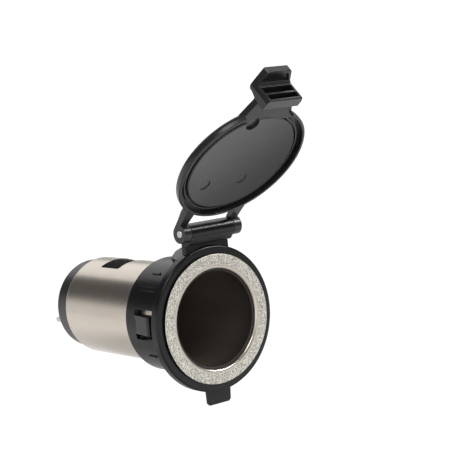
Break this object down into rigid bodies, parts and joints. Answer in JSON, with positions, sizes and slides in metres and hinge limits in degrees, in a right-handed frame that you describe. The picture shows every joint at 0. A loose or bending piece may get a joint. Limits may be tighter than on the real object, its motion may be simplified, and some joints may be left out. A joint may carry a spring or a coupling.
{
  "type": "vehicle power socket",
  "caption": "Panel-mounted vehicle power socket: metal barrel with flanged mouth, black snap-in collar and hinged lid with a finger latch, blade terminals behind.",
  "frame": {"origin": "on the plug bore's axis, in the panel plane, where the back of the collar's flange seats", "axes": "-Y out of the mouth, +Y towards the terminals, +Z towards the lid's hinge, +X to the right seen from the front"},
  "size_m": [0.0326, 0.0899, 0.0739],
  "materials": {
    "nickel_plate": "satin nickel plate",
    "dark_barrel": "dark",
    "black_insulator": "satin",
    "contact_brass": "satin",
    "pin_steel": "bright",
    "tinned_blade": "tinned",
    "collar_black": "semi-gloss",
    "lid_black": "satin"
  },
  "bodies": {
    "socket": {"socket_shell": "nickel_plate", "contact_barrel": "dark_barrel", "insulator": "black_insulator", "centre_contact": "contact_brass", "centre_rivet": "pin_steel", "positive_terminal": "tinned_blade", "negative_terminal": "tinned_blade", "rear_cap": "black_insulator", "collar": "collar_black"},
    "lid": {"lid": "lid_black", "hinge_pin": "pin_steel"}
  },
  "joints": [
    {"name": "lid_hinge", "type": "hinge", "parent": "socket", "child": "lid", "pos_m": [0, -0.00215, 0.02], "axis": [1, 0, 0], "range_deg": [-30, 135]}
  ]
}
